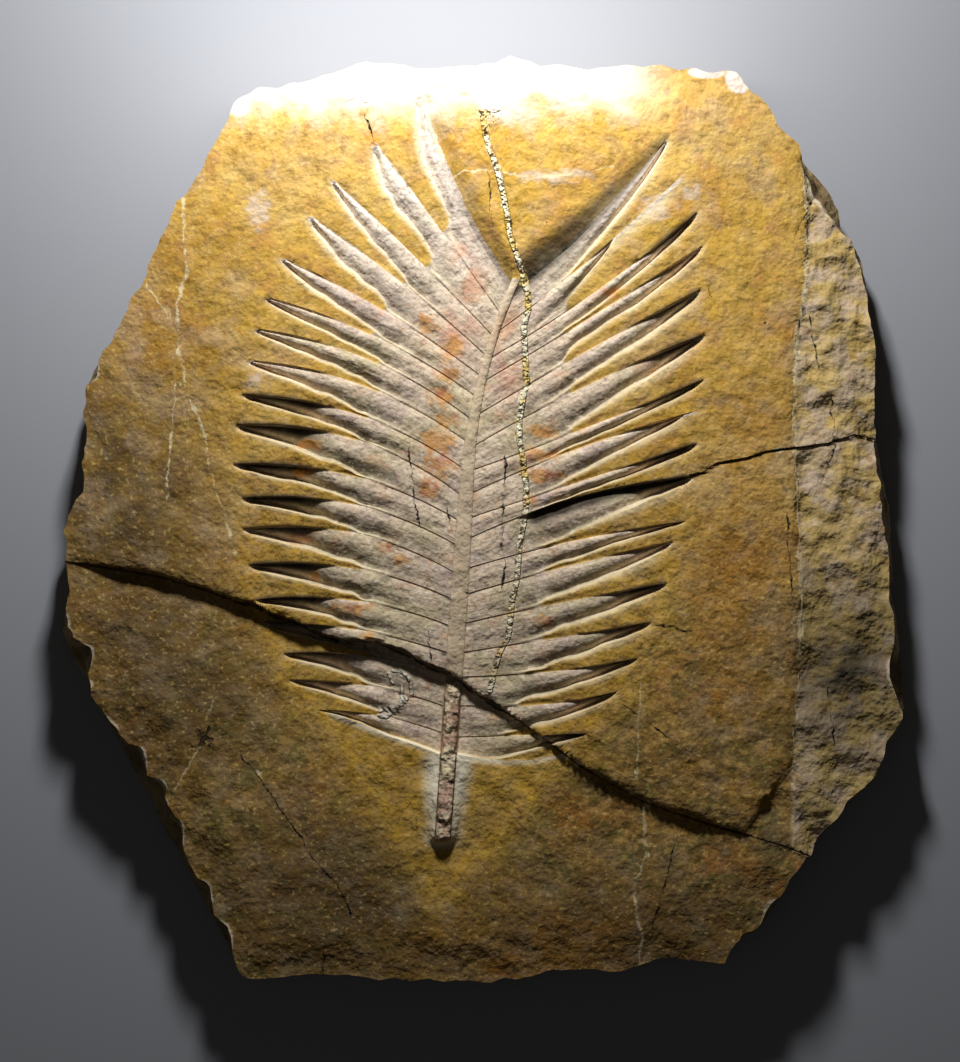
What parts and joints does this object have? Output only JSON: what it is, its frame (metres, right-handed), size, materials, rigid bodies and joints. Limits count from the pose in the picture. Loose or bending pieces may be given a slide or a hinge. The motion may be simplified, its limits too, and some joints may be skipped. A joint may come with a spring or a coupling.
{
  "type": "fossil cycad leaf",
  "caption": "Flat broken stone slab, lying on its back, with the sunk print of a feather-shaped cycad leaf, its midrib and its raised stalk on the face.",
  "frame": {"origin": "on the flat back, under the middle of the slab's bounding box", "axes": "+Z out of the face with the leaf, +Y from the stalk towards the leaf's tip, +X to the right seen from the front with the tip up"},
  "size_m": [0.3796, 0.4146, 0.0362],
  "materials": {
    "stone": "matte"
  },
  "bodies": {
    "root": {"slab": "stone"}
  },
  "joints": []
}
